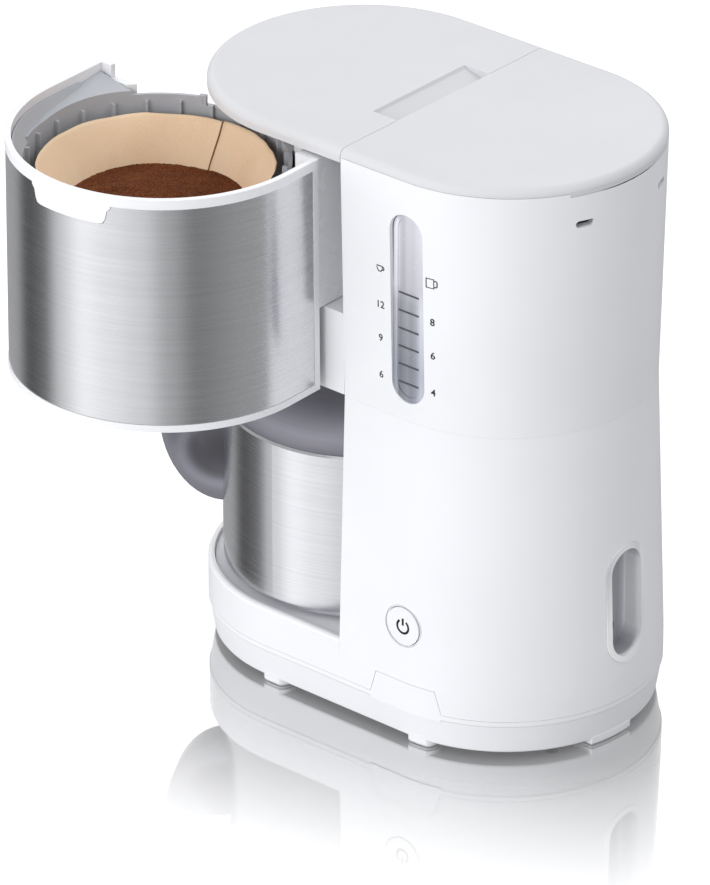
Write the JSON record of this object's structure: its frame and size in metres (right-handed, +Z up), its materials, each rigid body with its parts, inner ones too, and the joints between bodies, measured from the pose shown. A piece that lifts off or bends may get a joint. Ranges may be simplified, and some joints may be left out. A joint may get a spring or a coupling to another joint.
{
  "type": "drip coffee maker",
  "caption": "Drip coffee maker with an oval tower, a water gauge, a swing-out steel-clad filter basket and a steel thermal carafe.",
  "frame": {"origin": "middle of the oval footprint, on the surface the machine stands on, at the underside of the middle foot pad", "axes": "+Z up; -Y towards the carafe side, which is the front; +X towards the side with the water gauge and the power button"},
  "size_m": [0.2868, 0.3179, 0.3426],
  "materials": {
    "white_plastic": "smooth, soft gloss",
    "grey_plastic": "satin",
    "dark_plastic": "satin",
    "blue_grey_plastic": "satin",
    "clear_plastic": "clear, slightly lavender",
    "tank_plastic": "moulded",
    "brushed_skin": "brushed",
    "polished_steel": "polished",
    "steel_fixings": "plain",
    "heater_metal": "extruded",
    "rubber_light": "matte",
    "silicone": "soft",
    "paper_brown": "unbleached filter paper",
    "coffee": "granular, stands for ground coffee",
    "board_green": "laminate",
    "print_dark": "printed",
    "wire_cover": "insulation"
  },
  "bodies": {
    "machine": {"base_pan": "white_plastic", "feet": "rubber_light", "base_screws": "steel_fixings", "lower_housing": "white_plastic", "carafe_deck": "grey_plastic", "bay_liner": "grey_plastic", "upper_housing": "white_plastic", "outlet_recess": "grey_plastic", "cord_gland": "dark_plastic", "hinge_block": "white_plastic", "block_screws": "steel_fixings", "pivot_pins": "steel_fixings", "front_cover": "white_plastic", "cover_underplate": "grey_plastic", "shower_head": "grey_plastic", "brew_duct": "grey_plastic", "lid_hinge_pin": "steel_fixings", "water_tank": "tank_plastic", "tank_outlet_valve": "dark_plastic", "gauge_window": "clear_plastic", "gauge_tube": "clear_plastic", "gauge_marks": "print_dark", "gauge_channel": "grey_plastic", "cold_hose": "silicone", "flow_heater": "heater_metal", "heater_clips": "steel_fixings", "thermostat": "heater_metal", "thermal_fuses": "silicone", "riser_tube": "silicone", "button_bezel": "grey_plastic", "button_spring": "steel_fixings", "switch_block": "dark_plastic", "control_board": "board_green", "terminal_block": "grey_plastic", "wiring": "wire_cover", "latch_clip": "steel_fixings"},
    "tank_lid": {"tank_lid": "white_plastic"},
    "power_button": {"power_button": "white_plastic"},
    "basket": {"basket_shell": "white_plastic", "basket_skin": "brushed_skin", "basket_floor": "white_plastic", "basket_bushes": "grey_plastic", "basket_catch": "white_plastic", "drip_stop_spring": "steel_fixings"},
    "filter_insert": {"funnel_insert": "blue_grey_plastic", "paper_filter": "paper_brown", "coffee_grounds": "coffee"},
    "drip_stop": {"drip_stop": "grey_plastic"},
    "carafe": {"carafe_shell": "brushed_skin", "carafe_liner": "polished_steel", "carafe_foot": "dark_plastic", "carafe_collar": "dark_plastic", "carafe_handle": "dark_plastic", "handle_screws": "steel_fixings"},
    "carafe_lid": {"carafe_lid": "dark_plastic", "lid_seal": "silicone", "lever_pin": "steel_fixings"},
    "pour_lever": {"pour_lever": "dark_plastic"}
  },
  "joints": [
    {"name": "tank_lid_hinge", "type": "hinge", "parent": "machine", "child": "tank_lid", "pos_m": [0, 0.1322, 0.3374], "axis": [-1, 0, 0], "range_deg": [0, 60]},
    {"name": "power_button_press", "type": "slide", "parent": "machine", "child": "power_button", "axis": [-1, 0, 0], "range_m": [0, 0.0015], "stiffness_N_per_m": 600, "deforming": ["button_spring"]},
    {"name": "basket_swing", "type": "hinge", "parent": "machine", "child": "basket", "pos_m": [0.0776, -0.016, 0.27], "axis": [0, 0, 1], "range_deg": [-91, 0]},
    {"name": "filter_insert_lift", "type": "slide", "parent": "basket", "child": "filter_insert", "axis": [0, 0, 1], "range_m": [0, 0.011]},
    {"name": "drip_stop_lift", "type": "slide", "parent": "basket", "child": "drip_stop", "axis": [0, 0, 1], "range_m": [0, 0.003], "stiffness_N_per_m": 400, "deforming": ["drip_stop_spring"]},
    {"name": "carafe_draw", "type": "slide", "parent": "machine", "child": "carafe", "axis": [0, -0.9903, 0.1392], "range_m": [0, 0.175]},
    {"name": "carafe_lid_turn", "type": "hinge", "parent": "carafe", "child": "carafe_lid", "pos_m": [0, -0.0485, 0.18], "axis": [0, 0, 1], "range_deg": [0, 45]},
    {"name": "pour_lever_press", "type": "hinge", "parent": "carafe_lid", "child": "pour_lever", "pos_m": [0.0145, -0.07361, 0.1794], "axis": [0.866, 0.5, 0], "range_deg": [0, 3], "stiffness_Nm_per_rad": 2}
  ]
}
